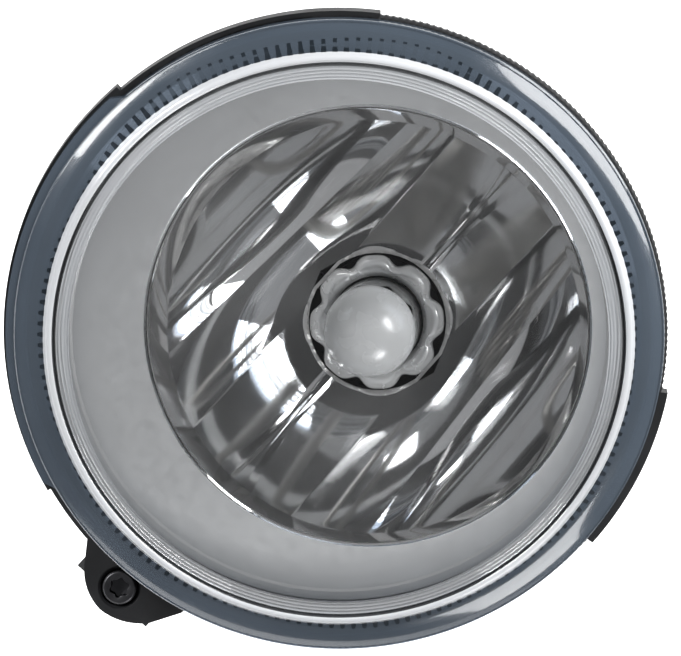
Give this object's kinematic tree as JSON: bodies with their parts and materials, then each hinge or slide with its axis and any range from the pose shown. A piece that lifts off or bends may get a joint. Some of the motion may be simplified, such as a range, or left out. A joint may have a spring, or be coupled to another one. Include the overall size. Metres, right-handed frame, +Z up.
{
  "type": "fog light",
  "caption": "Round automotive fog light: raked clear lens over a fluted reflector, in a black housing that tilts in a rear bracket by a front-facing aiming screw, with a twist-in bulb.",
  "frame": {"origin": "where the beam axis meets the plane of the bracket's three fixing pads", "axes": "the beam leaves along -Y, +Z is up on the vehicle, +X is the outboard side, to the right of someone facing the lens"},
  "size_m": [0.093, 0.0782, 0.0975],
  "materials": {
    "housing_plastic": "black moulded plastic, satin",
    "bracket_plastic": "black glass-filled plastic, matt",
    "clear_lens": "clear, smooth, faint cool tint at the rim",
    "mirror_coat": "vacuum-metallised moulding, mirror bright in the bowl and satin on the flat field",
    "bulb_glass": "clear hard glass with a silver-grey coated tip",
    "plated_steel": "zinc plated",
    "black_steel": "black plated",
    "contact_brass": "tin-brass contact",
    "tungsten": "drawn wire",
    "rubber": "black moulded rubber",
    "sealant": "cured sealant bead",
    "nylon": "natural nylon",
    "bulb_plastic": "black heat-resistant plastic"
  },
  "bodies": {
    "bracket": {"mounting_bracket": "bracket_plastic", "bolt_sleeve_top": "plated_steel", "bolt_sleeve_left": "plated_steel", "bolt_sleeve_right": "plated_steel", "pivot_bush_left": "nylon", "pivot_bush_right": "nylon"},
    "lamp": {"housing": "housing_plastic", "reflector": "mirror_coat", "lens": "clear_lens", "lens_seal": "sealant", "reflector_screw_1": "plated_steel", "reflector_screw_2": "plated_steel", "reflector_screw_3": "plated_steel", "pivot_pin_left": "plated_steel", "pivot_pin_right": "plated_steel", "vent_cap": "rubber", "adjuster_clip": "plated_steel"},
    "aiming_screw": {"adjuster_screw": "black_steel"},
    "aiming_nut": {"adjuster_nut": "nylon"},
    "bulb": {"bulb_glass": "bulb_glass", "bulb_ferrule": "plated_steel", "bulb_base": "bulb_plastic", "base_seal": "rubber", "filament": "tungsten", "filament_lead_short": "tungsten", "filament_lead_long": "tungsten", "terminal_left": "contact_brass", "terminal_right": "contact_brass"}
  },
  "joints": [
    {"name": "beam_tilt", "type": "hinge", "parent": "bracket", "child": "lamp", "pos_m": [0, -0.028, 0], "axis": [1, 0, 0], "range_deg": [-3, 3]},
    {"name": "screw_spin", "type": "hinge", "parent": "lamp", "child": "aiming_screw", "pos_m": [-0.002, -0.028, -0.051], "axis": [0, 1, 0], "range_deg": [-490, 490]},
    {"name": "nut_travel", "type": "slide", "parent": "lamp", "child": "aiming_nut", "axis": [0, 1, 0], "range_m": [-0.0028, 0.0028]},
    {"name": "bulb_twist", "type": "hinge", "parent": "lamp", "child": "bulb", "pos_m": [0, -0.014, 0], "axis": [0, 1, 0], "range_deg": [0, 40]}
  ],
  "couplings": [
    {"joint": "screw_spin", "follows": "beam_tilt", "ratio": 160.22},
    {"joint": "nut_travel", "follows": "beam_tilt", "m_per_rad": -0.051}
  ]
}
